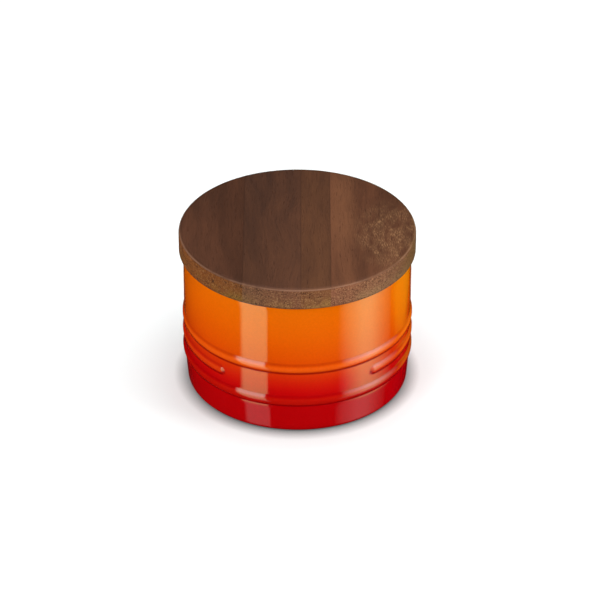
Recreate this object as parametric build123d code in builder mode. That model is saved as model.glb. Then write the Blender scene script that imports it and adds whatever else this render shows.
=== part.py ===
from build123d import *
import math
import os

os.makedirs("parts", exist_ok=True)

# Storage jar: a glazed stoneware pot with three moulded ribs and a flat wooden lid.
# The lid is glued up from boards and turned with a plug below it, and a lipped seal
# sits in the plug's groove and wipes the inside of the mouth.
# Millimetres, +Z up, origin at the centre of the footprint, front of the jar towards -Y.

# Jar wall and floor
jar_radius = 58.85
jar_height = 76.2
wall = 5.6
floor_top = 8.0
inside_corner = 8.0
rim_outer_round = 1.5
rim_inner_round = 1.8

# Ribs, each a rounded bead raised on the wall, listed from the lowest up
low_rib_height = 19.6
middle_rib_above_low = 9.9
top_rib_above_middle = 9.4
rib_relief = 0.85
rib_bead_radius = 4.4
rib_upper_sweep = 3.0
rib_lower_sweep = 1.6
middle_rib_sweep = 1.6
middle_rib_sink = 0.05
middle_rib_open_angle = 84.0

# Base below the ribs, drawn in from the wall, and the bare foot ring that it stands on
base_inset = 0.35
base_taper = 1.1
base_corner = 2.6
foot_ring_width = 4.4
foot_recess = 1.6
foot_edge_chamfer = 0.5

# Lid disc, whose edge overhangs the wall, and the joints between its boards along X
lid_overhang = 2.15
lid_thickness = 11.5
lid_top_round = 2.1
lid_bottom_chamfer = 0.4
board_joints = (-27.5, 1.8, 16.9)

# Plug under the lid and the groove turned in its side
plug_clearance = 2.2
plug_depth = 9.0
plug_edge_chamfer = 1.0
groove_depth = 1.6
groove_height = 4.2
groove_below_lid = 2.4

# Seal: a soft ring in the groove, with lips that lean up towards the lid
seal_fit = 0.1
seal_proud = 0.4
lip_count = 2
lip_thickness = 0.7
lip_rise = 0.8
lip_to_mouth = 0.25

# Sizes that follow from the ones above
lid_radius = jar_radius + lid_overhang
mouth_radius = jar_radius - wall
base_top_radius = jar_radius - base_inset
base_bottom_radius = base_top_radius - base_taper
foot_outer_radius = base_bottom_radius - base_corner
middle_rib_height = low_rib_height + middle_rib_above_low
top_rib_height = middle_rib_height + top_rib_above_middle
rib_crest_radius = jar_radius + rib_relief
bead_centre_radius = rib_crest_radius - rib_bead_radius
plug_radius = mouth_radius - plug_clearance
groove_radius = plug_radius - groove_depth
groove_top = jar_height - groove_below_lid
groove_bottom = groove_top - groove_height
lid_top = jar_height + lid_thickness
plug_bottom = jar_height - plug_depth


def bead_foot(wall_radius):
    """Half the height of a rib's bead where it leaves a wall of this radius."""
    return math.sqrt(rib_bead_radius**2 - (wall_radius - bead_centre_radius) ** 2)


def corner(section, across, up):
    """The corner of a section that lies nearest to a point of its own plane."""
    return section.vertices().sort_by_distance((across, up, 0))[0]


def edges_at(builder, height):
    """The level edges of a part that lie at this height."""
    return builder.edges().filter_by(GeomType.CIRCLE).filter_by_position(Axis.Z, height - 0.01, height + 0.01)


def front_direction(turn):
    """Unit vector in plan, turned by this many degrees from the front of the jar."""
    return Vector(0, -1, 0).rotate(Axis.Z, turn)


# Jar body: the outside with its full ribs, then the middle rib, then the hollow and the foot
low_rib_start = low_rib_height - bead_foot(base_top_radius)
low_rib_end = low_rib_height + bead_foot(jar_radius)
top_rib_start = top_rib_height - bead_foot(jar_radius)
top_rib_end = top_rib_height + bead_foot(jar_radius)

with BuildPart() as jar_body:
    with BuildSketch(Plane.XZ) as outside:
        with BuildLine():
            Polyline((0, jar_height), (0, 0), (base_bottom_radius, 0), (base_top_radius, low_rib_start))
            ThreePointArc(
                (base_top_radius, low_rib_start),
                (rib_crest_radius, low_rib_height),
                (jar_radius, low_rib_end),
            )
            Line((jar_radius, low_rib_end), (jar_radius, top_rib_start))
            ThreePointArc(
                (jar_radius, top_rib_start),
                (rib_crest_radius, top_rib_height),
                (jar_radius, top_rib_end),
            )
            Polyline((jar_radius, top_rib_end), (jar_radius, jar_height), (0, jar_height))
        make_face()
        fillet(corner(outside, base_bottom_radius, 0), radius=base_corner)
        fillet(corner(outside, base_top_radius, low_rib_start), radius=rib_lower_sweep)
        fillet(corner(outside, jar_radius, low_rib_end), radius=rib_upper_sweep)
        fillet(corner(outside, jar_radius, top_rib_start), radius=rib_lower_sweep)
        fillet(corner(outside, jar_radius, top_rib_end), radius=rib_upper_sweep)
        fillet(corner(outside, jar_radius, jar_height), radius=rim_outer_round)
    revolve(axis=Axis.Z)

    # The middle rib runs round the back and stops in a domed end on each side of the front.
    # Its section is the bead with a hollow sweep on both sides, sunk a little into the wall.
    # The section runs round the jar, and its upper half turned about itself makes each end.
    sunk_radius = jar_radius - middle_rib_sink
    sunk_foot = bead_foot(sunk_radius)
    half_height = sunk_foot + middle_rib_sweep
    rib_start = front_direction(middle_rib_open_angle / 2)
    rib_end = front_direction(-middle_rib_open_angle / 2)
    for direction, turn_axis, turn, section_bottom in (
        (rib_start, Axis.Z, 360 - middle_rib_open_angle, -half_height),
        (rib_start, Axis((0, 0, middle_rib_height), rib_start), 180, 0),
        (rib_end, Axis((0, 0, middle_rib_height), -rib_end), 180, 0),
    ):
        section_plane = Plane(
            (0, 0, middle_rib_height), x_dir=direction, z_dir=direction.cross(Vector(0, 0, 1))
        )
        with BuildSketch(section_plane):
            with BuildLine() as bead_line:
                ThreePointArc((sunk_radius, -sunk_foot), (rib_crest_radius, 0), (sunk_radius, sunk_foot))
                Line((sunk_radius, sunk_foot), (sunk_radius, half_height))
                Line((sunk_radius, -half_height), (sunk_radius, -sunk_foot))
                fillet(bead_line.vertices().filter_by_position(Axis.Y, -sunk_foot, sunk_foot), middle_rib_sweep)
                Polyline(
                    (sunk_radius, half_height),
                    (bead_centre_radius, half_height),
                    (bead_centre_radius, -half_height),
                    (sunk_radius, -half_height),
                )
            make_face()
            with Locations((bead_centre_radius, section_bottom)):
                Rectangle(wall, 2 * half_height, align=(Align.MIN, Align.MIN), mode=Mode.INTERSECT)
        revolve(axis=turn_axis, revolution_arc=turn)

    # Hollow with a rounded floor corner, the inside of the rim, and the recess under the foot
    with BuildSketch(Plane.XY.offset(floor_top)):
        Circle(mouth_radius)
    extrude(amount=jar_height - floor_top, mode=Mode.SUBTRACT)
    fillet(edges_at(jar_body, floor_top), radius=inside_corner)
    fillet(edges_at(jar_body, jar_height).sort_by(SortBy.RADIUS)[0], radius=rim_inner_round)
    with BuildSketch(Plane.XY):
        Circle(foot_outer_radius - foot_ring_width)
    extrude(amount=foot_recess, mode=Mode.SUBTRACT)
    chamfer(edges_at(jar_body, 0).sort_by(SortBy.RADIUS)[0], length=foot_edge_chamfer)
jar_body.part.label = "jar_body"
export_step(jar_body.part, "parts/jar_body.step")

# Lid boards: each is the stretch of the turned lid between two joints, grain along Y
board_sides = (-lid_radius, *board_joints, lid_radius)
for number, (left, right) in enumerate(zip(board_sides, board_sides[1:]), start=1):
    with BuildPart() as lid_board:
        with BuildSketch(Plane.XZ) as half_section:
            with BuildLine():
                Polyline(
                    (0, plug_bottom),
                    (plug_radius, plug_bottom),
                    (plug_radius, groove_bottom),
                    (groove_radius, groove_bottom),
                    (groove_radius, groove_top),
                    (plug_radius, groove_top),
                    (plug_radius, jar_height),
                    (lid_radius, jar_height),
                    (lid_radius, lid_top),
                    (0, lid_top),
                    close=True,
                )
            make_face()
            fillet(corner(half_section, lid_radius, lid_top), radius=lid_top_round)
            chamfer(corner(half_section, lid_radius, jar_height), length=lid_bottom_chamfer)
            chamfer(corner(half_section, plug_radius, plug_bottom), length=plug_edge_chamfer)
        revolve(axis=Axis.Z)
        with Locations(((left + right) / 2, 0, (plug_bottom + lid_top) / 2)):
            Box(right - left, 2 * lid_radius, lid_top - plug_bottom, mode=Mode.INTERSECT)
    lid_board.part.label = f"lid_board_{number}"
    export_step(lid_board.part, f"parts/lid_board_{number}.step")

# Seal: a band round the groove, proud of the plug, with lips that end just short of the mouth
band_inner = groove_radius + seal_fit
band_outer = plug_radius + seal_proud
band_bottom = groove_bottom + seal_fit
band_top = groove_top - seal_fit
lip_radius = mouth_radius - lip_to_mouth
lip_pitch = (band_top - band_bottom - lip_rise) / lip_count

with BuildPart() as seal_ring:
    with BuildSketch(Plane.XZ) as band_section:
        with Locations((band_inner, band_bottom)):
            Rectangle(band_outer - band_inner, band_top - band_bottom, align=(Align.MIN, Align.MIN))
        for step in range(lip_count):
            root = band_bottom + step * lip_pitch
            with BuildLine():
                Polyline(
                    (band_inner, root),
                    (band_outer, root),
                    (lip_radius, root + lip_rise),
                    (lip_radius, root + lip_rise + lip_thickness / 2),
                    (band_outer, root + lip_thickness),
                    (band_inner, root + lip_thickness),
                    close=True,
                )
            make_face()
    revolve(axis=Axis.Z)
seal_ring.part.label = "seal_ring"
export_step(seal_ring.part, "parts/seal_ring.step")
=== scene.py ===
import math

import bmesh
import bpy
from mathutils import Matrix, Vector


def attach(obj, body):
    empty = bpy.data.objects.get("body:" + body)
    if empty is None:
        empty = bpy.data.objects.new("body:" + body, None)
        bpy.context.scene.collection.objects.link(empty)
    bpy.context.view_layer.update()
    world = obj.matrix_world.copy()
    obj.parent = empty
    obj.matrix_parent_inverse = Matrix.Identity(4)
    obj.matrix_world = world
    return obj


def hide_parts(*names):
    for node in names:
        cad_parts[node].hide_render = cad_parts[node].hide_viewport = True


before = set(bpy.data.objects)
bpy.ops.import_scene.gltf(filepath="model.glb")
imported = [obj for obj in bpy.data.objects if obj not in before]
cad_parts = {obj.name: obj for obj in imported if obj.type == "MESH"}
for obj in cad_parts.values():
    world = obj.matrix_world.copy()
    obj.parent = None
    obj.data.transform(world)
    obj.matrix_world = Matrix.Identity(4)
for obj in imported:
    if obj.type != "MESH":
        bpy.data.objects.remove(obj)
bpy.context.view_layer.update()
mm = 0.001
print("frame loaded")

scene = bpy.context.scene
scene.view_settings.view_transform = "Standard"

noiseSpan = (0.3, 0.7)  # values between which nearly all of a noise lies

# small helpers for node trees


def addNode(tree, kind, inputs=None, **settings):
    node = tree.nodes.new(kind)
    for name, value in settings.items():
        setattr(node, name, value)
    for name, value in (inputs or {}).items():
        if isinstance(value, bpy.types.NodeSocket):
            tree.links.new(value, node.inputs[name])
        else:
            node.inputs[name].default_value = value
    return node


def addMath(tree, operation, first, second=None, third=None, clamp=False):
    node = addNode(tree, "ShaderNodeMath", operation=operation, use_clamp=clamp)
    for index, value in enumerate((first, second, third)):
        if isinstance(value, bpy.types.NodeSocket):
            tree.links.new(value, node.inputs[index])
        elif value is not None:
            node.inputs[index].default_value = value
    return node.outputs[0]


def addProduct(tree, *values):
    product = values[0]
    for value in values[1:]:
        product = addMath(tree, "MULTIPLY", product, value)
    return product


def addMix(tree, amount, low, high, blendType="MIX"):
    node = addNode(tree, "ShaderNodeMix", data_type="RGBA", blend_type=blendType)
    for index, value in ((0, amount), (6, low), (7, high)):
        if isinstance(value, bpy.types.NodeSocket):
            tree.links.new(value, node.inputs[index])
        else:
            node.inputs[index].default_value = value
    return node.outputs[2]


def addRamp(tree, amount, stops):
    node = addNode(tree, "ShaderNodeValToRGB", {"Fac": amount})
    ramp = node.color_ramp
    while len(ramp.elements) < len(stops):
        ramp.elements.new(0.5)
    while len(ramp.elements) > len(stops):
        ramp.elements.remove(ramp.elements[-1])
    for element, (place, value) in zip(ramp.elements, stops):
        element.position = place
        element.color = value
    return node.outputs["Color"]


def remap(tree, value, fromLow, fromHigh, toLow=0.0, toHigh=1.0, smooth=False):
    kind = "SMOOTHSTEP" if smooth else "LINEAR"
    node = addNode(tree, "ShaderNodeMapRange", interpolation_type=kind)
    for index, item in enumerate((value, fromLow, fromHigh, toLow, toHigh)):
        if isinstance(item, bpy.types.NodeSocket):
            tree.links.new(item, node.inputs[index])
        else:
            node.inputs[index].default_value = item
    return node.outputs[0]


def addNoise(tree, vector, scale, detail):
    values = {"Vector": vector, "Scale": scale, "Detail": detail}
    return addNode(tree, "ShaderNodeTexNoise", values).outputs["Fac"]


def addVector(tree, operation, first, second=None):
    values = {0: first} if second is None else {0: first, 1: second}
    return addNode(tree, "ShaderNodeVectorMath", values, operation=operation).outputs


def distanceFromAxis(tree, where):
    flat = addVector(tree, "MULTIPLY", where, (1.0, 1.0, 0.0))[0]
    return addVector(tree, "LENGTH", flat)["Value"]


def addBump(tree, surface, height, strength, distance):
    values = {"Height": height, "Strength": strength, "Distance": distance}
    tree.links.new(addNode(tree, "ShaderNodeBump", values).outputs[0], surface.inputs["Normal"])


def srgb(red, green, blue):
    # an sRGB colour 0 to 255 as the linear colour that a shader takes
    parts = [value / 255 for value in (red, green, blue)]
    linear = [part / 12.92 if part <= 0.04045 else ((part + 0.055) / 1.055) ** 2.4 for part in parts]
    return (*linear, 1.0)


def newGroup(name, inputs, outputs, kind="ShaderNodeTree"):
    group = bpy.data.node_groups.new(name, kind)
    for socketName, socketType, value in inputs:
        socket = group.interface.new_socket(socketName, in_out="INPUT", socket_type=socketType)
        if value is not None:
            socket.default_value = value
    for socketName, socketType in outputs:
        group.interface.new_socket(socketName, in_out="OUTPUT", socket_type=socketType)
    return group, group.nodes.new("NodeGroupInput").outputs, group.nodes.new("NodeGroupOutput").inputs


def newMaterial(name):
    material = bpy.data.materials.new(name)
    material.use_nodes = True
    tree = material.node_tree
    return material, tree, tree.nodes["Principled BSDF"]


# camera, stage and light

view = {
    "distance": 1.8096,
    "elevation": 32.06,
    "side": 0.00138,  # the jar stands a little left of the frame's middle
    "aimHeight": 0.0437,
    "lens": 208.97,
}


def makeCamera():
    camera = bpy.data.cameras.new("camera")
    camera.lens = view["lens"]
    camera.sensor_width = 36
    camera.clip_start = 0.05
    camera.clip_end = 50
    holder = bpy.data.objects.new("camera", camera)
    scene.collection.objects.link(holder)
    tilt = math.radians(view["elevation"])
    back = Vector((0, -math.cos(tilt), math.sin(tilt)))
    holder.location = Vector((view["side"], 0, view["aimHeight"])) + back * view["distance"]
    holder.rotation_euler = (math.pi / 2 - tilt, 0, 0)
    scene.camera = holder


makeCamera()

studio = {
    "floorSize": 12.0,
    "floorShade": srgb(225, 231, 231),
    "floorLift": 0.125,  # glow that only the camera sees, so that the floor is white beside the shadow
    "floorFade": (0.3, 1.4),  # distances between which the floor turns into the white of the backdrop
    "contactReach": 0.008,  # how far the painted contact shadow round the foot goes
    "contactPower": 1.5,
    "aimHeight": 0.05,  # what the lamps and cards are aimed at
    "ambient": 0.46,
    "mirrored": 0.004,  # what glossy surfaces see between the cards
    "lamps": (  # name, width and height, place, watts
        ("overheadLamp", (1.5, 1.5), (0.1, 0.1, 1.8), 24.5),
        ("leftLamp", (0.7, 1.3), (-1.2, -1.2, 0.75), 14.4),
        ("rightLamp", (0.7, 1.3), (1.65, -0.5, 0.7), 17),
    ),
    "cards": (  # azimuths of a card's sides from the front, shares of its glow from left to right
        {
            "name": "leftCard",
            "sides": (-58.0, -29.0),
            "across": ((0.0, 0.1), (0.13, 0.95), (0.2, 1.0), (0.92, 1.0), (1.0, 0.6)),
            "glow": "softboxGlow",
        },
        {
            "name": "rightCard",
            "sides": (41.0, 122.0),
            "across": (
                (0.0, 0.05), (0.12, 0.52), (0.35, 1.1), (0.45, 0.95),
                (0.57, 0.46), (0.66, 0.2), (0.77, 0.04), (0.86, 0.0),
            ),
            "glow": "softboxGlow",
        },
        {
            "name": "warmCard",
            "sides": (100.0, 160.0),
            "across": ((0.0, 0.0), (0.3, 1.0), (0.6, 0.6), (1.0, 0.0)),
            "glow": "warmGlow",
        },
    ),
    "cardDistance": 0.75,
    "cardFoot": -0.9,
    "cardHead": 0.6,
    "warmGlow": ((-33.4, (0.1, 0.0, 0.01)), (-31.6, (0.7, 0.66, 0.02))),  # elevation and glow there
    "softboxGlow": (
        (-42, (0.95, 0.7, 0.7)),
        (-38.5, (1.1, 0.95, 0.85)),
        (-34, (1.6, 2.9, 1.3)),
        (-15, (2.4, 3.6, 2.2)),
        (0, (5.0, 5.8, 4.8)),
    ),
    "topCard": (1.2, 1.5, 5.0),  # width, height above the floor and glow
}


def addLamp(name, size, place, power):
    lamp = bpy.data.lights.new(name, "AREA")
    lamp.shape = "RECTANGLE"
    lamp.size, lamp.size_y = size
    lamp.energy = power
    holder = bpy.data.objects.new(name, lamp)
    scene.collection.objects.link(holder)
    holder.location = place
    aim = Vector((0, 0, studio["aimHeight"])) - Vector(place)
    holder.rotation_euler = aim.to_track_quat("-Z", "Y").to_euler()
    holder.visible_glossy = False


def addCard(name, corners, upwards, across):
    # a card that only reflections see, with its glow from its foot up times its glow across
    mesh = bpy.data.meshes.new(name)
    mesh.from_pydata(corners, [], [(0, 1, 2, 3)])
    uv = mesh.uv_layers.new(name="across")
    for loop, place in zip(uv.data, ((0, 0), (1, 0), (1, 1), (0, 1))):
        loop.uv = place
    material = bpy.data.materials.new(name)
    material.use_nodes = True
    tree = material.node_tree
    tree.nodes.clear()
    uvMap = addNode(tree, "ShaderNodeTexCoord").outputs["UV"]
    split = addNode(tree, "ShaderNodeSeparateXYZ", {0: uvMap})
    shares = [(place, (share,) * 3 + (1,)) for place, share in across]
    sideways = addRamp(tree, split.outputs["X"], shares)
    rising = addRamp(tree, split.outputs["Y"], [(place, (*shade, 1)) for place, shade in upwards])
    glow = addMix(tree, 1.0, sideways, rising, "MULTIPLY")
    shining = addNode(tree, "ShaderNodeEmission", {"Color": glow})
    addNode(tree, "ShaderNodeOutputMaterial", {"Surface": shining.outputs[0]})
    mesh.materials.append(material)
    card = bpy.data.objects.new(name, mesh)
    scene.collection.objects.link(card)
    card.visible_camera = False
    card.visible_diffuse = False
    card.visible_shadow = False
    card.visible_transmission = False


def standCard(name, sides, across, glow):
    # upright between two azimuths, square to the jar
    distance, foot, head = (studio[key] for key in ("cardDistance", "cardFoot", "cardHead"))
    upwards = []
    for elevation, shade in studio[glow]:
        height = studio["aimHeight"] + distance * math.tan(math.radians(elevation))
        upwards.append((min(1, max(0, (height - foot) / (head - foot))), shade))
    middle = math.radians(sum(sides) / 2)
    half = math.tan(math.radians(sides[1] - sides[0]) / 2) * distance
    out = Vector((math.sin(middle), -math.cos(middle), 0)) * distance
    aside = Vector((math.cos(middle), math.sin(middle), 0)) * half
    low, high = Vector((0, 0, foot)), Vector((0, 0, head))
    corners = [out - aside + low, out + aside + low, out + aside + high, out - aside + high]
    addCard(name, corners, upwards, across)


def makeCards():
    for card in studio["cards"]:
        standCard(**card)
    width, height, strength = studio["topCard"]
    half = width / 2
    corners = [(x * half, y * half, height) for x, y in ((-1, 1), (1, 1), (1, -1), (-1, -1))]
    addCard("topCard", corners, [(0, (strength,) * 3)], [(0, 1)])


def makeFloor():
    # white to the camera but for a painted contact shadow round the foot and the lamps' own shadows
    mesh = bpy.data.meshes.new("floor")
    half = studio["floorSize"] / 2
    corners = [(x * half, y * half, 0) for x, y in ((-1, -1), (1, -1), (1, 1), (-1, 1))]
    mesh.from_pydata(corners, [], [(0, 1, 2, 3)])
    material, tree, surface = newMaterial("floor")
    # painted contact shadow: ambient occlusion darkens the floor's colour round the foot
    nearby = {"Distance": studio["contactReach"]}
    clear = addNode(tree, "ShaderNodeAmbientOcclusion", nearby, samples=8).outputs["AO"]
    clear = addMath(tree, "POWER", clear, studio["contactPower"])
    colour = addMix(tree, clear, (0, 0, 0, 1), studio["floorShade"])
    tree.links.new(colour, surface.inputs["Base Color"])
    surface.inputs["Roughness"].default_value = 0.9
    surface.inputs["Specular IOR Level"].default_value = 0.0
    surface.inputs["Emission Color"].default_value = (1, 1, 1, 1)
    where = addNode(tree, "ShaderNodeTexCoord").outputs["Object"]
    away = addVector(tree, "LENGTH", where)["Value"]
    lift = remap(tree, away, *studio["floorFade"], studio["floorLift"], 1.0, smooth=True)
    seen = addNode(tree, "ShaderNodeLightPath").outputs["Is Camera Ray"]
    tree.links.new(addProduct(tree, seen, lift), surface.inputs["Emission Strength"])
    mesh.materials.append(material)
    floor = bpy.data.objects.new("floor", mesh)
    scene.collection.objects.link(floor)
    floor.visible_glossy = False


def makeWorld():
    world = bpy.data.worlds.new("world")
    scene.world = world
    world.use_nodes = True
    tree = world.node_tree
    tree.nodes.clear()
    path = addNode(tree, "ShaderNodeLightPath")
    around, mirrored = ((studio[name],) * 3 + (1,) for name in ("ambient", "mirrored"))
    level = addMix(tree, path.outputs["Is Glossy Ray"], around, mirrored)
    seen = addMix(tree, path.outputs["Is Camera Ray"], level, (1, 1, 1, 1))
    back = addNode(tree, "ShaderNodeBackground", {"Color": seen})
    addNode(tree, "ShaderNodeOutputWorld", {"Surface": back.outputs[0]})


def makeStage():
    makeFloor()
    makeWorld()
    for lamp in studio["lamps"]:
        addLamp(*lamp)
    makeCards()


makeStage()
print("camera and stage ready")


# turned pieces: an outline of radius and height, taken round the jar's axis


def addArc(points, centre, radius, start, end, steps=8):
    # degrees, 0 along +X and 90 upwards, in the plane of the outline
    for step in range(steps + 1):
        angle = math.radians(start + (end - start) * step / steps)
        points.append((centre[0] + radius * math.cos(angle), centre[1] + radius * math.sin(angle)))


def addRun(points, end, spacing):
    # a straight run in even steps
    start = points[-1]
    steps = max(1, round(math.dist(start, end) / spacing))
    for step in range(1, steps + 1):
        share = step / steps
        points.append(tuple(a + (b - a) * share for a, b in zip(start, end)))


ribNames = ("Low rib", "Middle rib", "Top rib")
beadSizes = ("Crest radius", "Bead radius", "Upper sweep", "Lower sweep")
ribGlaze = {
    "crest": (0.3 * mm, 0.85 * mm),  # how far a rib stands out where its crest begins and is whole
    "poolAndShade": (0.1 * mm, 0.85 * mm),  # distance from its foot where the pooled glaze and the painted shade under the rib are full, and where they end
    "poolAndShadeAbove": 0.35,  # share of the pooled glaze and painted shade above a rib
}


def ribGroup():
    # lifts the wall's radius to a round bead and says where its crest is, and where the pooled glaze and
    # painted shade at its feet are
    group, given, result = newGroup(
        "rib",
        [
            (name, "NodeSocketFloat", 0.0)
            for name in ("Radius", "Height", "From front", "Rib height", "Open angle", *beadSizes)
        ],
        [(name, "NodeSocketFloat") for name in ("Radius", "Crest", "PoolAndShade")],
        "GeometryNodeTree",
    )
    radius = given["Radius"]
    pastEnd = addMath(group, "SUBTRACT", given["Open angle"], given["From front"])
    along = addProduct(group, addMath(group, "MAXIMUM", pastEnd, 0.0), radius)
    up = addMath(group, "SUBTRACT", given["Height"], given["Rib height"])
    alongSquare, upSquare, beadSquare = (
        addMath(group, "POWER", value, 2.0) for value in (along, up, given["Bead radius"])
    )
    awaySquare = addMath(group, "ADD", alongSquare, upSquare)
    away = addMath(group, "SQRT", awaySquare)
    core = addMath(group, "SUBTRACT", given["Crest radius"], given["Bead radius"])
    square = addMath(group, "MAXIMUM", addMath(group, "SUBTRACT", beadSquare, awaySquare), 0.0)
    cap = addMath(group, "ADD", core, addMath(group, "SQRT", square))
    near = addMath(group, "LESS_THAN", away, given["Bead radius"])
    outside = addMath(group, "GREATER_THAN", radius, core)
    here = addProduct(group, near, outside)
    above = addMath(group, "GREATER_THAN", up, 0.0)
    sweep = remap(group, above, 0.0, 1.0, given["Lower sweep"], given["Upper sweep"])
    bead = remap(group, here, 0.0, 1.0, -1.0, cap)  # out of reach, at -1 m, away from the rib
    swept = addMath(group, "SMOOTH_MAX", radius, bead, sweep)
    group.links.new(swept, result["Radius"])
    lift = addMath(group, "SUBTRACT", swept, radius)
    group.links.new(remap(group, lift, *ribGlaze["crest"], smooth=True), result["Crest"])
    # pooled glaze at the rib's feet, partly painted shade where the rib's underside faces down
    foot = addMath(group, "ABSOLUTE", addMath(group, "SUBTRACT", cap, radius))
    pooledAndShaded = remap(group, foot, *ribGlaze["poolAndShade"], 1.0, 0.0, smooth=True)
    lessAbove = remap(group, above, 0.0, 1.0, 1.0, ribGlaze["poolAndShadeAbove"])
    group.links.new(addProduct(group, pooledAndShaded, here, lessAbove), result["PoolAndShade"])
    return group


def turnedGroup(ribs):
    # a grid whose rows are the outline's points and whose columns go round the axis
    group, given, result = newGroup(
        "turnedPiece",
        [
            ("Outline", "NodeSocketGeometry", None),
            ("Columns", "NodeSocketInt", 256),
            *[(name, "NodeSocketFloat", 0.0) for name in (*ribNames, "Open angle", *beadSizes)],
            ("Material", "NodeSocketMaterial", None),
        ],
        [("Geometry", "NodeSocketGeometry")],
        "GeometryNodeTree",
    )
    count = addNode(group, "GeometryNodeAttributeDomainSize", {0: given["Outline"]}, component="MESH")
    rows = count.outputs["Point Count"]
    grid = addNode(group, "GeometryNodeMeshGrid", {"Vertices X": given["Columns"], "Vertices Y": rows})
    uv = addNode(group, "ShaderNodeSeparateXYZ", {0: grid.outputs["UV Map"]})
    lastRow = addMath(group, "SUBTRACT", rows, 1.0)
    row = addMath(group, "ROUND", addProduct(group, uv.outputs["Y"], lastRow))
    place = addNode(group, "GeometryNodeInputPosition")
    point = addNode(group, "GeometryNodeSampleIndex", data_type="FLOAT_VECTOR", domain="POINT")
    group.links.new(given["Outline"], point.inputs[0])
    group.links.new(place.outputs[0], point.inputs["Value"])
    group.links.new(row, point.inputs["Index"])
    outline = addNode(group, "ShaderNodeSeparateXYZ", {0: point.outputs[0]})
    turn = addProduct(group, uv.outputs["X"], 2 * math.pi)  # 0 and a full turn at the front
    fromBack = addMath(group, "ABSOLUTE", addMath(group, "SUBTRACT", turn, math.pi))
    fromFront = addMath(group, "SUBTRACT", math.pi, fromBack)

    radius = outline.outputs["X"]
    crest = poolAndShade = 0.0
    for name in ribNames:
        rib = group.nodes.new("GeometryNodeGroup")
        rib.node_tree = ribs
        values = {
            "Radius": radius,
            "Height": outline.outputs["Z"],
            "From front": fromFront,
            "Rib height": given[name],
            **{key: given[key] for key in beadSizes},
        }
        if name == "Middle rib":
            values["Open angle"] = given["Open angle"]
        for socket, value in values.items():
            group.links.new(value, rib.inputs[socket])
        radius = rib.outputs["Radius"]
        crest = addMath(group, "MAXIMUM", crest, rib.outputs["Crest"])
        poolAndShade = addMath(group, "MAXIMUM", poolAndShade, rib.outputs["PoolAndShade"])

    sideways = addProduct(group, addMath(group, "SINE", turn), radius)
    forwards = addProduct(group, radius, -1.0, addMath(group, "COSINE", turn))
    spot = {"X": sideways, "Y": forwards, "Z": outline.outputs["Z"]}
    spot = addNode(group, "ShaderNodeCombineXYZ", spot).outputs[0]
    moved = {"Geometry": grid.outputs["Mesh"], "Position": spot}
    shape = addNode(group, "GeometryNodeSetPosition", moved).outputs[0]
    for name, value in (("crest", crest), ("poolAndShade", poolAndShade)):
        holds = {"Geometry": shape, "Name": name}
        stored = addNode(group, "GeometryNodeStoreNamedAttribute", holds, data_type="FLOAT")
        stored.domain = "POINT"
        group.links.new(value, stored.inputs["Value"])
        shape = stored.outputs[0]
    merged = {"Geometry": shape, "Distance": 0.001 * mm}  # closes the seam at the front and the poles
    closed = addNode(group, "GeometryNodeMergeByDistance", merged)
    smooth = addNode(group, "GeometryNodeSetShadeSmooth", {"Geometry": closed.outputs[0]})
    single = addNode(group, "GeometryNodeRealizeInstances", {"Geometry": smooth.outputs[0]})
    finished = {"Geometry": single.outputs[0], "Material": given["Material"]}
    group.links.new(addNode(group, "GeometryNodeSetMaterial", finished).outputs[0], result["Geometry"])
    return group


turned = turnedGroup(ribGroup())


def turnPiece(name, points, material, columns, sizes=None):
    # the outline as a mesh of points, then the tree, then a plain mesh
    outline = bpy.data.meshes.new(name)
    links = [(index, index + 1) for index in range(len(points) - 1)]
    outline.from_pydata([(across, 0, up) for across, up in points], links, [])
    piece = bpy.data.objects.new(name, outline)
    scene.collection.objects.link(piece)
    modifier = piece.modifiers.new("turned", "NODES")
    modifier.node_group = turned
    values = {"Columns": columns, "Material": material, **(sizes or {})}
    for item in turned.interface.items_tree:
        if item.in_out == "INPUT" and item.name in values:
            modifier[item.identifier] = values[item.name]
    bpy.context.view_layer.update()
    made = piece.evaluated_get(bpy.context.evaluated_depsgraph_get())
    mesh = bpy.data.meshes.new_from_object(made)
    piece.modifiers.remove(modifier)
    piece.data = mesh
    return piece


sharpAngle = math.radians(35)


def finishMesh(mesh):
    work = bmesh.new()
    work.from_mesh(mesh)
    bmesh.ops.recalc_face_normals(work, faces=work.faces)
    work.to_mesh(mesh)
    work.free()
    mesh.set_sharp_from_angle(angle=sharpAngle)


# jar body

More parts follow.
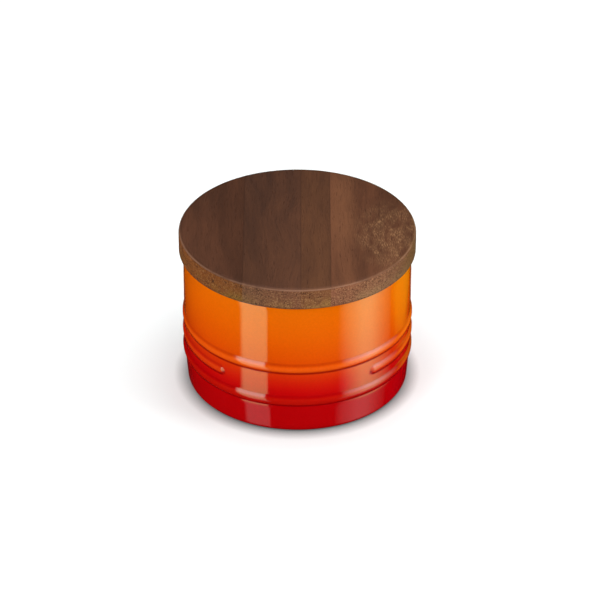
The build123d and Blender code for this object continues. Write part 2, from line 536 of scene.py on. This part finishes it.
jar = {
    "radius": 58.85 * mm,
    "height": 76.2 * mm,
    "wall": 5.6 * mm,
    "floorTop": 8.0 * mm,
    "insideCorner": 8.0 * mm,
    "rimOuterRound": 1.5 * mm,
    "rimInnerRound": 1.8 * mm,
    "baseInset": 0.35 * mm,
    "baseTaper": 1.1 * mm,
    "baseCorner": 2.6 * mm,
    "footRingWidth": 4.4 * mm,
    "footRecess": 1.6 * mm,
    "footChamfer": 0.5 * mm,
    "ribs": {"Low rib": 19.6 * mm, "Middle rib": 29.5 * mm, "Top rib": 38.9 * mm},
    "ribRelief": 0.85 * mm,
    "beadRadius": 4.4 * mm,
    "ribUpperSweep": 0.7 * mm,
    "ribLowerSweep": 0.4 * mm,
    "openAngle": 42,  # degrees from the front to each end of the middle rib
    "fine": 0.35 * mm,  # spacing of the outline's points at the ribs, and elsewhere
    "coarse": 3.0 * mm,
    "columns": 320,
    "glaze": (  # height in mm and glaze colour, from the bare foot up
        # the stop at the foot is lighter than the one above it: painted light that offsets the shade
        # near the floor
        (0.0, srgb(184, 3, 8)),
        (10.0, srgb(176, 1, 5)),
        (20.0, srgb(176, 1, 4)),
        (24.0, srgb(186, 4, 5)),
        (27.0, srgb(193, 13, 5)),
        (31.0, srgb(199, 29, 5)),
        (35.5, srgb(206, 48, 4)),
        (40.0, srgb(210, 66, 1)),
        (46.0, srgb(215, 77, 0)),
        (58.0, srgb(221, 91, 0)),
        (76.2, srgb(227, 104, 0)),
    ),
    "thinGlaze": srgb(240, 104, 16),
    # pooled glaze at the ribs' feet, darkened further as painted shade under each rib
    "pooledGlazeAndShade": srgb(124, 0, 2),
    "bareRing": (50.0 * mm, 55.6 * mm),  # radii between which the foot has no glaze
    "bareBelow": 0.45 * mm,  # and the height under which it has none
    "bareClay": (srgb(198, 170, 138), srgb(170, 138, 104)),
    "thinning": (20 * mm, 39 * mm, 0.03, 0.42),  # two heights, and how thin a crest's glaze is there
    "poolAndShadeAmount": 0.8,
    "wander": 1.2 * mm,  # how far the colours drift up and down
    "drift": (22.0, 2.0),  # scale and detail of each noise
    "mottle": (900.0, 3.0),
    "mottleGreys": ((0.3, (0.955, 0.955, 0.955, 1)), (0.7, (1.03, 1.03, 1.03, 1))),
    "grit": (1600.0, 4.0),
    "ripple": (60.0, 1.0),
    "roughness": (0.05, 0.09),
    "bareRoughness": 0.85,
}


def jarOutline():
    mouth = jar["radius"] - jar["wall"]
    baseTop = jar["radius"] - jar["baseInset"]
    baseBottom = baseTop - jar["baseTaper"]
    footOuter = baseBottom - jar["baseCorner"]
    footInner = footOuter - jar["footRingWidth"]
    lowRib = jar["ribs"]["Low rib"]
    points = [(0.0, jar["floorTop"])]
    corner = jar["insideCorner"]
    addRun(points, (mouth - corner, jar["floorTop"]), jar["coarse"] * 2)
    addArc(points, (mouth - corner, jar["floorTop"] + corner), corner, -90, 0, 12)
    inner = jar["rimInnerRound"]
    addRun(points, (mouth, jar["height"] - inner), jar["coarse"] * 2)
    addArc(points, (mouth + inner, jar["height"] - inner), inner, 180, 90)
    outer = jar["rimOuterRound"]
    addArc(points, (jar["radius"] - outer, jar["height"] - outer), outer, 90, 0)
    addRun(points, (jar["radius"], jar["ribs"]["Top rib"] + jar["beadRadius"]), jar["coarse"])
    addRun(points, (jar["radius"], lowRib), jar["fine"])
    addRun(points, (baseTop, lowRib - jar["fine"]), jar["fine"])
    addRun(points, (baseTop, lowRib - jar["beadRadius"]), jar["fine"])
    bend = jar["baseCorner"]
    addRun(points, (baseBottom, bend), jar["coarse"] / 2)
    addArc(points, (baseBottom - bend, bend), bend, 0, -90, 10)
    chamfer = jar["footChamfer"]
    addRun(points, (footInner + chamfer, 0.0), jar["coarse"])
    points.append((footInner, chamfer))
    points.append((footInner, jar["footRecess"]))
    addRun(points, (0.0, jar["footRecess"]), jar["coarse"] * 4)
    return points


def glazeMaterial():
    material, tree, surface = newMaterial("orangeGlaze")
    where = addNode(tree, "ShaderNodeTexCoord").outputs["Object"]
    spot = addNode(tree, "ShaderNodeSeparateXYZ", {0: where})
    drift = addNoise(tree, where, *jar["drift"])
    wander = remap(tree, drift, *noiseSpan, -jar["wander"], jar["wander"])
    level = addMath(tree, "DIVIDE", addMath(tree, "ADD", spot.outputs["Z"], wander), jar["height"])
    top = jar["height"] / mm
    colour = addRamp(tree, level, [(height / top, shade) for height, shade in jar["glaze"]])
    crest = addNode(tree, "ShaderNodeAttribute", attribute_name="crest").outputs["Fac"]
    poolAndShade = addNode(tree, "ShaderNodeAttribute", attribute_name="poolAndShade").outputs["Fac"]
    thinness = addProduct(tree, crest, remap(tree, spot.outputs["Z"], *jar["thinning"]))
    colour = addMix(tree, thinness, colour, jar["thinGlaze"])
    # pooled glaze, with painted shade under the ribs
    colour = addMix(tree, addProduct(tree, poolAndShade, jar["poolAndShadeAmount"]), colour, jar["pooledGlazeAndShade"])
    mottle = addRamp(tree, addNoise(tree, where, *jar["mottle"]), jar["mottleGreys"])
    colour = addMix(tree, 1.0, colour, mottle, "MULTIPLY")
    reach = distanceFromAxis(tree, where)
    inner, outer = jar["bareRing"]
    low = addMath(tree, "LESS_THAN", spot.outputs["Z"], jar["bareBelow"])
    past = addMath(tree, "GREATER_THAN", reach, inner)
    bare = addProduct(tree, low, past, addMath(tree, "LESS_THAN", reach, outer))
    clay = addMix(tree, addNoise(tree, where, *jar["grit"]), *jar["bareClay"])
    tree.links.new(addMix(tree, bare, colour, clay), surface.inputs["Base Color"])
    gloss = remap(tree, drift, *noiseSpan, *jar["roughness"])
    rough = remap(tree, bare, 0.0, 1.0, gloss, jar["bareRoughness"])
    tree.links.new(rough, surface.inputs["Roughness"])
    addBump(tree, surface, addNoise(tree, where, *jar["ripple"]), 0.02, 1.0 * mm)
    return material


def makeJar():
    sizes = {
        "Open angle": math.radians(jar["openAngle"]),
        "Crest radius": jar["radius"] + jar["ribRelief"],
        "Bead radius": jar["beadRadius"],
        "Upper sweep": jar["ribUpperSweep"],
        "Lower sweep": jar["ribLowerSweep"],
        **jar["ribs"],
    }
    body = turnPiece("jarBody", jarOutline(), glazeMaterial(), jar["columns"], sizes)
    finishMesh(body.data)
    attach(body, "jar")
    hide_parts("jar_body")


makeJar()
print("jar body ready")

# lid boards

lid = {
    "radius": 61.0 * mm,
    "thickness": 11.5 * mm,
    "topRound": 2.1 * mm,
    "bottomChamfer": 0.4 * mm,
    "joints": (-27.5 * mm, 1.8 * mm, 16.9 * mm),
    "plugRadius": 51.05 * mm,
    "plugDepth": 9.0 * mm,
    "plugChamfer": 1.0 * mm,
    "grooveDepth": 1.6 * mm,
    "grooveHeight": 4.2 * mm,
    "grooveBelowLid": 2.4 * mm,
    "columns": 288,
    "boards": (
        {
            "dark": srgb(56, 34, 24),  # the wood's lines
            "light": srgb(87, 53, 36),
            "edge": srgb(134, 74, 26),  # its sawn edge, and the patches in it
            "goldEdge": srgb(150, 104, 40),
            "shadeBackwards": 0.1,  # painted shade: how much more of the dark there is at the back than in the middle
            "shade": ((0.95, 0.7), (0.9, 0.66)),  # painted shade: brightness left and right at the back, then in front
            "shift": (0.31, 0.12, 0.05),  # where in the grain it was cut
        },
        {
            "dark": srgb(53, 34, 26),
            "light": srgb(85, 53, 36),
            "edge": srgb(120, 76, 52),
            "goldEdge": srgb(136, 94, 56),
            "shadeBackwards": 0.18,
            "shade": ((0.88, 0.9), (0.74, 1.03)),
            "shift": (0.74, 0.40, 0.21),
        },
        {
            "dark": srgb(66, 41, 28),
            "light": srgb(92, 58, 37),
            "edge": srgb(122, 76, 46),
            "goldEdge": srgb(156, 114, 60),
            "shadeBackwards": 0.14,
            "shade": ((0.9, 0.94), (0.98, 0.95)),
            "shift": (0.18, 0.83, 0.37),
        },
        {
            "dark": srgb(68, 41, 28),
            "light": srgb(98, 60, 40),
            "edge": srgb(136, 85, 60),
            "goldEdge": srgb(146, 104, 70),
            "shadedEnd": (42 * mm, 61 * mm, 0.0, 0.55),  # painted shade: its edge darkens from one place to the other
            "shadeBackwards": 0.08,
            "shade": ((0.94, 0.72), (1.0, 0.78)),
            "strip": srgb(114, 73, 48),  # lighter wood beside the joint
            "stripFades": (  # axis, two places on it and how much of the strip shows at each
                ("X", (16.9 * mm, 22.9 * mm, 0.55, 1.0)),
                ("X", (26 * mm, 33 * mm, 1.0, 0.0)),
                ("Y", (-34 * mm, 8 * mm, 0.3, 0.85)),
                ("Y", (30 * mm, 58 * mm, 1.0, 0.35)),
            ),
            "flecks": ((49 * mm, -8 * mm), (22 * mm, 38 * mm)),  # middle and reach of the lit figure
            "shift": (0.52, 0.27, 0.66),
        },
    ),
    "fleck": srgb(170, 126, 86),
    "pore": srgb(40, 24, 19),
    "sheen": srgb(255, 205, 190),
    "roundHighlight": srgb(150, 108, 84),  # painted highlight along the turned corner round the top
    "roundHighlightBand": (1.1 * mm, 0.5 * mm),  # how far in from the rim it starts, and is whole
    "roundHighlightRise": (85 * mm, 86 * mm),  # heights where it starts, and is whole
    "edgeBand": (0.4 * mm, 0.05 * mm),  # how far in from the rim the sawn edge starts, and is whole
    "goldRise": (76 * mm, 84 * mm, 1.0, 0.0),  # heights between which its gold fades out
    "shadedEdgeFoot": (1.6 * mm, 0.55),  # painted shade: how far up its foot is dark, and how dark
    "jointLine": (0.1 * mm, 0.5 * mm, 0.4, 0.0),  # distances from a joint and how dark its line is there
    "poreDarkness": 0.4,
}


def lidOutline():
    seat = jar["height"]
    top = seat + lid["thickness"]
    bottom = seat - lid["plugDepth"]
    grooveTop = seat - lid["grooveBelowLid"]
    grooveBottom = grooveTop - lid["grooveHeight"]
    grooveRadius = lid["plugRadius"] - lid["grooveDepth"]
    chamfer = lid["plugChamfer"]
    points = [(0.0, bottom)]
    addRun(points, (lid["plugRadius"] - chamfer, bottom), 10 * mm)
    points += [
        (lid["plugRadius"], bottom + chamfer),
        (lid["plugRadius"], grooveBottom),
        (grooveRadius, grooveBottom),
        (grooveRadius, grooveTop),
        (lid["plugRadius"], grooveTop),
        (lid["plugRadius"], seat),
        (lid["radius"] - lid["bottomChamfer"], seat),
        (lid["radius"], seat + lid["bottomChamfer"]),
    ]
    corner = lid["topRound"]
    addRun(points, (lid["radius"], top - corner), 3 * mm)
    addArc(points, (lid["radius"] - corner, top - corner), corner, 0, 90, 10)
    addRun(points, (0.0, top), 10 * mm)
    return points


grainLooks = {  # scale, share of it along the grain and detail, noise that gives 0 and 1, smooth or not
    "Ticks": ((3.0, 0.13, 2.0), (0.46, 0.66), True),
    "Clumps": ((0.3, 0.4, 3.0), noiseSpan, True),
    "Speckle": ((1.5, 0.25, 3.0), (0.36, 0.64), False),
    "Blotches": ((0.3, 0.6, 3.0), (0.38, 0.62), False),
    "Patches": ((0.09, 0.8, 2.0), (0.4, 0.6), True),
}
toneShares = {"bands": 0.5, "lines": 0.28, "fine": 0.22}
grainBend = 2.5  # mm that the lines wander sideways
fineRelief = 0.4  # height of the fine lines beside the depth of the pores


def grainGroup():
    # wood cut along Y, in object space: broad bands, fine lines, pores, lit ticks and end grain
    group, given, result = newGroup(
        "woodGrain",
        [("Vector", "NodeSocketVector", None), ("Shift", "NodeSocketVector", (0.0, 0.0, 0.0))],
        [(name, "NodeSocketFloat") for name in ("Tone", "Pores", "Height", *grainLooks)],
    )
    moved = addVector(group, "ADD", given["Vector"], given["Shift"])[0]
    inMm = addVector(group, "MULTIPLY", moved, (1000.0, 1000.0, 1000.0))[0]

    def streaks(scale, along, detail, vector=inMm):
        # noise whose grains are 1 / along times longer in Y than across
        squeezed = addVector(group, "MULTIPLY", vector, (1.0, along, 1.0))[0]
        return addNoise(group, squeezed, scale, detail)

    bend = remap(group, streaks(0.03, 0.6, 1.0), *noiseSpan, -grainBend, grainBend)
    offset = addNode(group, "ShaderNodeCombineXYZ", {"X": bend})
    bent = addVector(group, "ADD", inMm, offset.outputs[0])[0]
    bands = remap(group, streaks(0.13, 0.12, 2.0, bent), 0.32, 0.68)
    lines = remap(group, streaks(0.9, 0.07, 3.0, bent), 0.32, 0.68)
    fine = remap(group, streaks(3.2, 0.1, 2.0, bent), *noiseSpan)
    tone = addProduct(group, bands, toneShares["bands"])
    tone = addMath(group, "MULTIPLY_ADD", lines, toneShares["lines"], tone)
    tone = addMath(group, "MULTIPLY_ADD", fine, toneShares["fine"], tone)
    group.links.new(tone, result["Tone"])
    pores = remap(group, streaks(2.4, 0.06, 2.0, bent), 0.58, 0.72, smooth=True)
    group.links.new(pores, result["Pores"])
    height = addMath(group, "SUBTRACT", addProduct(group, fine, fineRelief), pores)
    group.links.new(height, result["Height"])
    for name, (noise, span, smooth) in grainLooks.items():
        group.links.new(remap(group, streaks(*noise), *span, smooth=smooth), result[name])
    return group


grain = grainGroup()


def boardMaterial(number, board):
    material, tree, surface = newMaterial(f"walnutBoard{number}")
    where = addNode(tree, "ShaderNodeTexCoord").outputs["Object"]
    wood = addNode(tree, "ShaderNodeGroup", node_tree=grain)
    tree.links.new(where, wood.inputs["Vector"])
    wood.inputs["Shift"].default_value = board["shift"]
    pattern = wood.outputs
    spot = addNode(tree, "ShaderNodeSeparateXYZ", {0: where}).outputs
    radius = lid["radius"]
    # painted shade: the wood turns darker towards the back
    shadeBackwards = remap(tree, spot["Y"], -radius, radius, board["shadeBackwards"], -board["shadeBackwards"])
    tone = addMath(tree, "ADD", pattern["Tone"], shadeBackwards, clamp=True)
    colour = addMix(tree, tone, board["dark"], board["light"])
    if "strip" in board:
        fades = [remap(tree, spot[axis], *fade, smooth=True) for axis, fade in board["stripFades"]]
        figure = remap(tree, pattern["Tone"], 0.2, 0.8, 0.6, 1.0)
        colour = addMix(tree, addProduct(tree, *fades, figure), colour, board["strip"])
    if "flecks" in board:
        squares = []
        for axis, middle, reach in zip("XY", *board["flecks"]):
            away = addMath(tree, "DIVIDE", addMath(tree, "SUBTRACT", spot[axis], middle), reach)
            squares.append(addMath(tree, "POWER", away, 2.0))
        near = remap(tree, addMath(tree, "ADD", *squares), 0.0, 1.1, 1.0, 0.0, smooth=True)
        ticks = remap(tree, pattern["Ticks"], 0.0, 1.0, 0.1, 0.7)
        lit = addProduct(tree, near, pattern["Clumps"], ticks)
        colour = addMix(tree, lit, colour, lid["fleck"])
    for joint in board["sides"]:
        if abs(joint) < radius:
            away = addMath(tree, "ABSOLUTE", addMath(tree, "SUBTRACT", spot["X"], joint))
            colour = addMix(tree, remap(tree, away, *lid["jointLine"]), colour, lid["pore"])

    # the sawn edge: gold patches low down, dark dots, light flecks and a foot darkened with painted
    # shade
    reach = distanceFromAxis(tree, where)
    start, whole = lid["edgeBand"]
    side = remap(tree, reach, radius - start, radius - whole, smooth=True)
    low = remap(tree, spot["Z"], *lid["goldRise"], smooth=True)
    edge = addMix(tree, addProduct(tree, low, pattern["Patches"]), board["edge"], board["goldEdge"])
    fewer = remap(tree, pattern["Blotches"], 0.0, 1.0, 0.95, 0.3)
    dots = addProduct(tree, remap(tree, pattern["Speckle"], 0.0, 0.6, 1.0, 0.0), fewer)
    edge = addMix(tree, dots, edge, board["dark"])
    edge = addMix(tree, remap(tree, pattern["Speckle"], 0.7, 1.0, 0.0, 0.4), edge, lid["fleck"])
    rise, darkness = lid["shadedEdgeFoot"]
    shadedUnder = remap(tree, spot["Z"], jar["height"], jar["height"] + rise, darkness, 0.0, smooth=True)
    edge = addMix(tree, shadedUnder, edge, board["dark"])
    # painted shade at the right end of the edge
    if "shadedEnd" in board:
        edge = addMix(tree, remap(tree, spot["X"], *board["shadedEnd"]), edge, board["dark"])
    colour = addMix(tree, side, colour, edge)

    # painted highlight: a light band on the turned corner round the top, in patches
    start, whole = lid["roundHighlightBand"]
    corner = addProduct(
        tree,
        remap(tree, reach, radius - start, radius - whole, smooth=True),
        remap(tree, side, 0.0, 0.5, 1.0, 0.0),
        remap(tree, spot["Z"], *lid["roundHighlightRise"]),
        remap(tree, pattern["Patches"], 0.0, 1.0, 0.25, 0.6),
    )
    colour = addMix(tree, corner, colour, lid["roundHighlight"])
    # painted shade: each board's colour is dimmed from its corners as it was lit
    back, front = (remap(tree, spot["X"], *board["sides"], *ends) for ends in board["shade"])
    shade = remap(tree, spot["Y"], radius, -radius, back, front)
    grey = addNode(tree, "ShaderNodeCombineXYZ", {axis: shade for axis in "XYZ"}).outputs[0]
    colour = addMix(tree, 1.0, colour, grey, "MULTIPLY")
    pores = addProduct(tree, pattern["Pores"], lid["poreDarkness"])
    tree.links.new(addMix(tree, pores, colour, lid["pore"]), surface.inputs["Base Color"])
    tree.links.new(remap(tree, pattern["Pores"], 0.0, 1.0, 0.5, 0.7), surface.inputs["Roughness"])
    surface.inputs["Specular IOR Level"].default_value = 0.2
    surface.inputs["Specular Tint"].default_value = lid["sheen"]
    addBump(tree, surface, pattern["Height"], 0.2, 0.1 * mm)
    return material


def cutBoard(mesh, left, right):
    # the stretch of the turned lid between two joints, closed where it was cut
    work = bmesh.new()
    work.from_mesh(mesh)
    for place, way in ((left, -1), (right, 1)):
        if abs(place) > lid["radius"] - 0.1 * mm:
            continue
        cut = bmesh.ops.bisect_plane(
            work,
            geom=[*work.verts, *work.edges, *work.faces],
            plane_co=(place, 0, 0),
            plane_no=(way, 0, 0),
            clear_outer=True,
            dist=1e-7,
        )
        rim = [item for item in cut["geom_cut"] if isinstance(item, bmesh.types.BMEdge)]
        closed = bmesh.ops.triangle_fill(work, edges=rim, use_beauty=True)
        for face in closed["geom"]:
            if isinstance(face, bmesh.types.BMFace):
                face.smooth = False
    work.to_mesh(mesh)
    work.free()


def makeLid():
    sides = (-lid["radius"], *lid["joints"], lid["radius"])
    for number, board in enumerate(lid["boards"], start=1):
        board["sides"] = sides[number - 1 : number + 1]
        material = boardMaterial(number, board)
        piece = turnPiece(f"lidBoard{number}", lidOutline(), material, lid["columns"])
        cutBoard(piece.data, *board["sides"])
        finishMesh(piece.data)
        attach(piece, "lid")
        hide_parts(f"lid_board_{number}")


makeLid()
print("lid ready")

# seal

seal = {
    "proud": 0.4 * mm,
    "lipToMouth": 0.25 * mm,
    "lipThickness": 0.7 * mm,
    "lipRise": 0.8 * mm,
    "lips": 2,
    "fit": 0.1 * mm,
    "columns": 256,
    "colours": (srgb(222, 219, 210), srgb(236, 234, 228)),
    "glowReach": 0.002,  # how far light spreads below its skin
    "cloud": (120.0, 2.0),  # scale and detail of each noise
    "dust": (2400.0, 1.0),
    "roughness": (0.42, 0.56),
}


def sealOutline():
    inner = lid["plugRadius"] - lid["grooveDepth"] + seal["fit"]
    outer = lid["plugRadius"] + seal["proud"]
    top = jar["height"] - lid["grooveBelowLid"] - seal["fit"]
    bottom = jar["height"] - lid["grooveBelowLid"] - lid["grooveHeight"] + seal["fit"]
    tip = jar["radius"] - jar["wall"] - seal["lipToMouth"]
    pitch = (top - bottom - seal["lipRise"]) / seal["lips"]
    radius = seal["lipThickness"] / 4
    points = [(inner, bottom)]
    for lip in range(seal["lips"]):
        root = bottom + lip * pitch
        points.append((outer, root))
        addArc(points, (tip - radius, root + seal["lipRise"] + radius), radius, -60, 90, 5)
        points.append((outer, root + seal["lipThickness"]))
    points += [(outer, top), (inner, top), (inner, bottom)]
    return points


def sealMaterial():
    material, tree, surface = newMaterial("siliconeSeal")
    where = addNode(tree, "ShaderNodeTexCoord").outputs["Object"]
    cloud = addNoise(tree, where, *seal["cloud"])
    tree.links.new(addMix(tree, cloud, *seal["colours"]), surface.inputs["Base Color"])
    rough = remap(tree, cloud, *noiseSpan, *seal["roughness"])
    tree.links.new(rough, surface.inputs["Roughness"])
    surface.inputs["Subsurface Weight"].default_value = 0.2
    surface.inputs["Subsurface Radius"].default_value = (seal["glowReach"],) * 3
    addBump(tree, surface, addNoise(tree, where, *seal["dust"]), 0.1, 0.02 * mm)
    return material


def makeSeal():
    ring = turnPiece("sealRing", sealOutline(), sealMaterial(), seal["columns"])
    finishMesh(ring.data)
    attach(ring, "lid")
    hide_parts("seal_ring")


makeSeal()
print("seal ready")
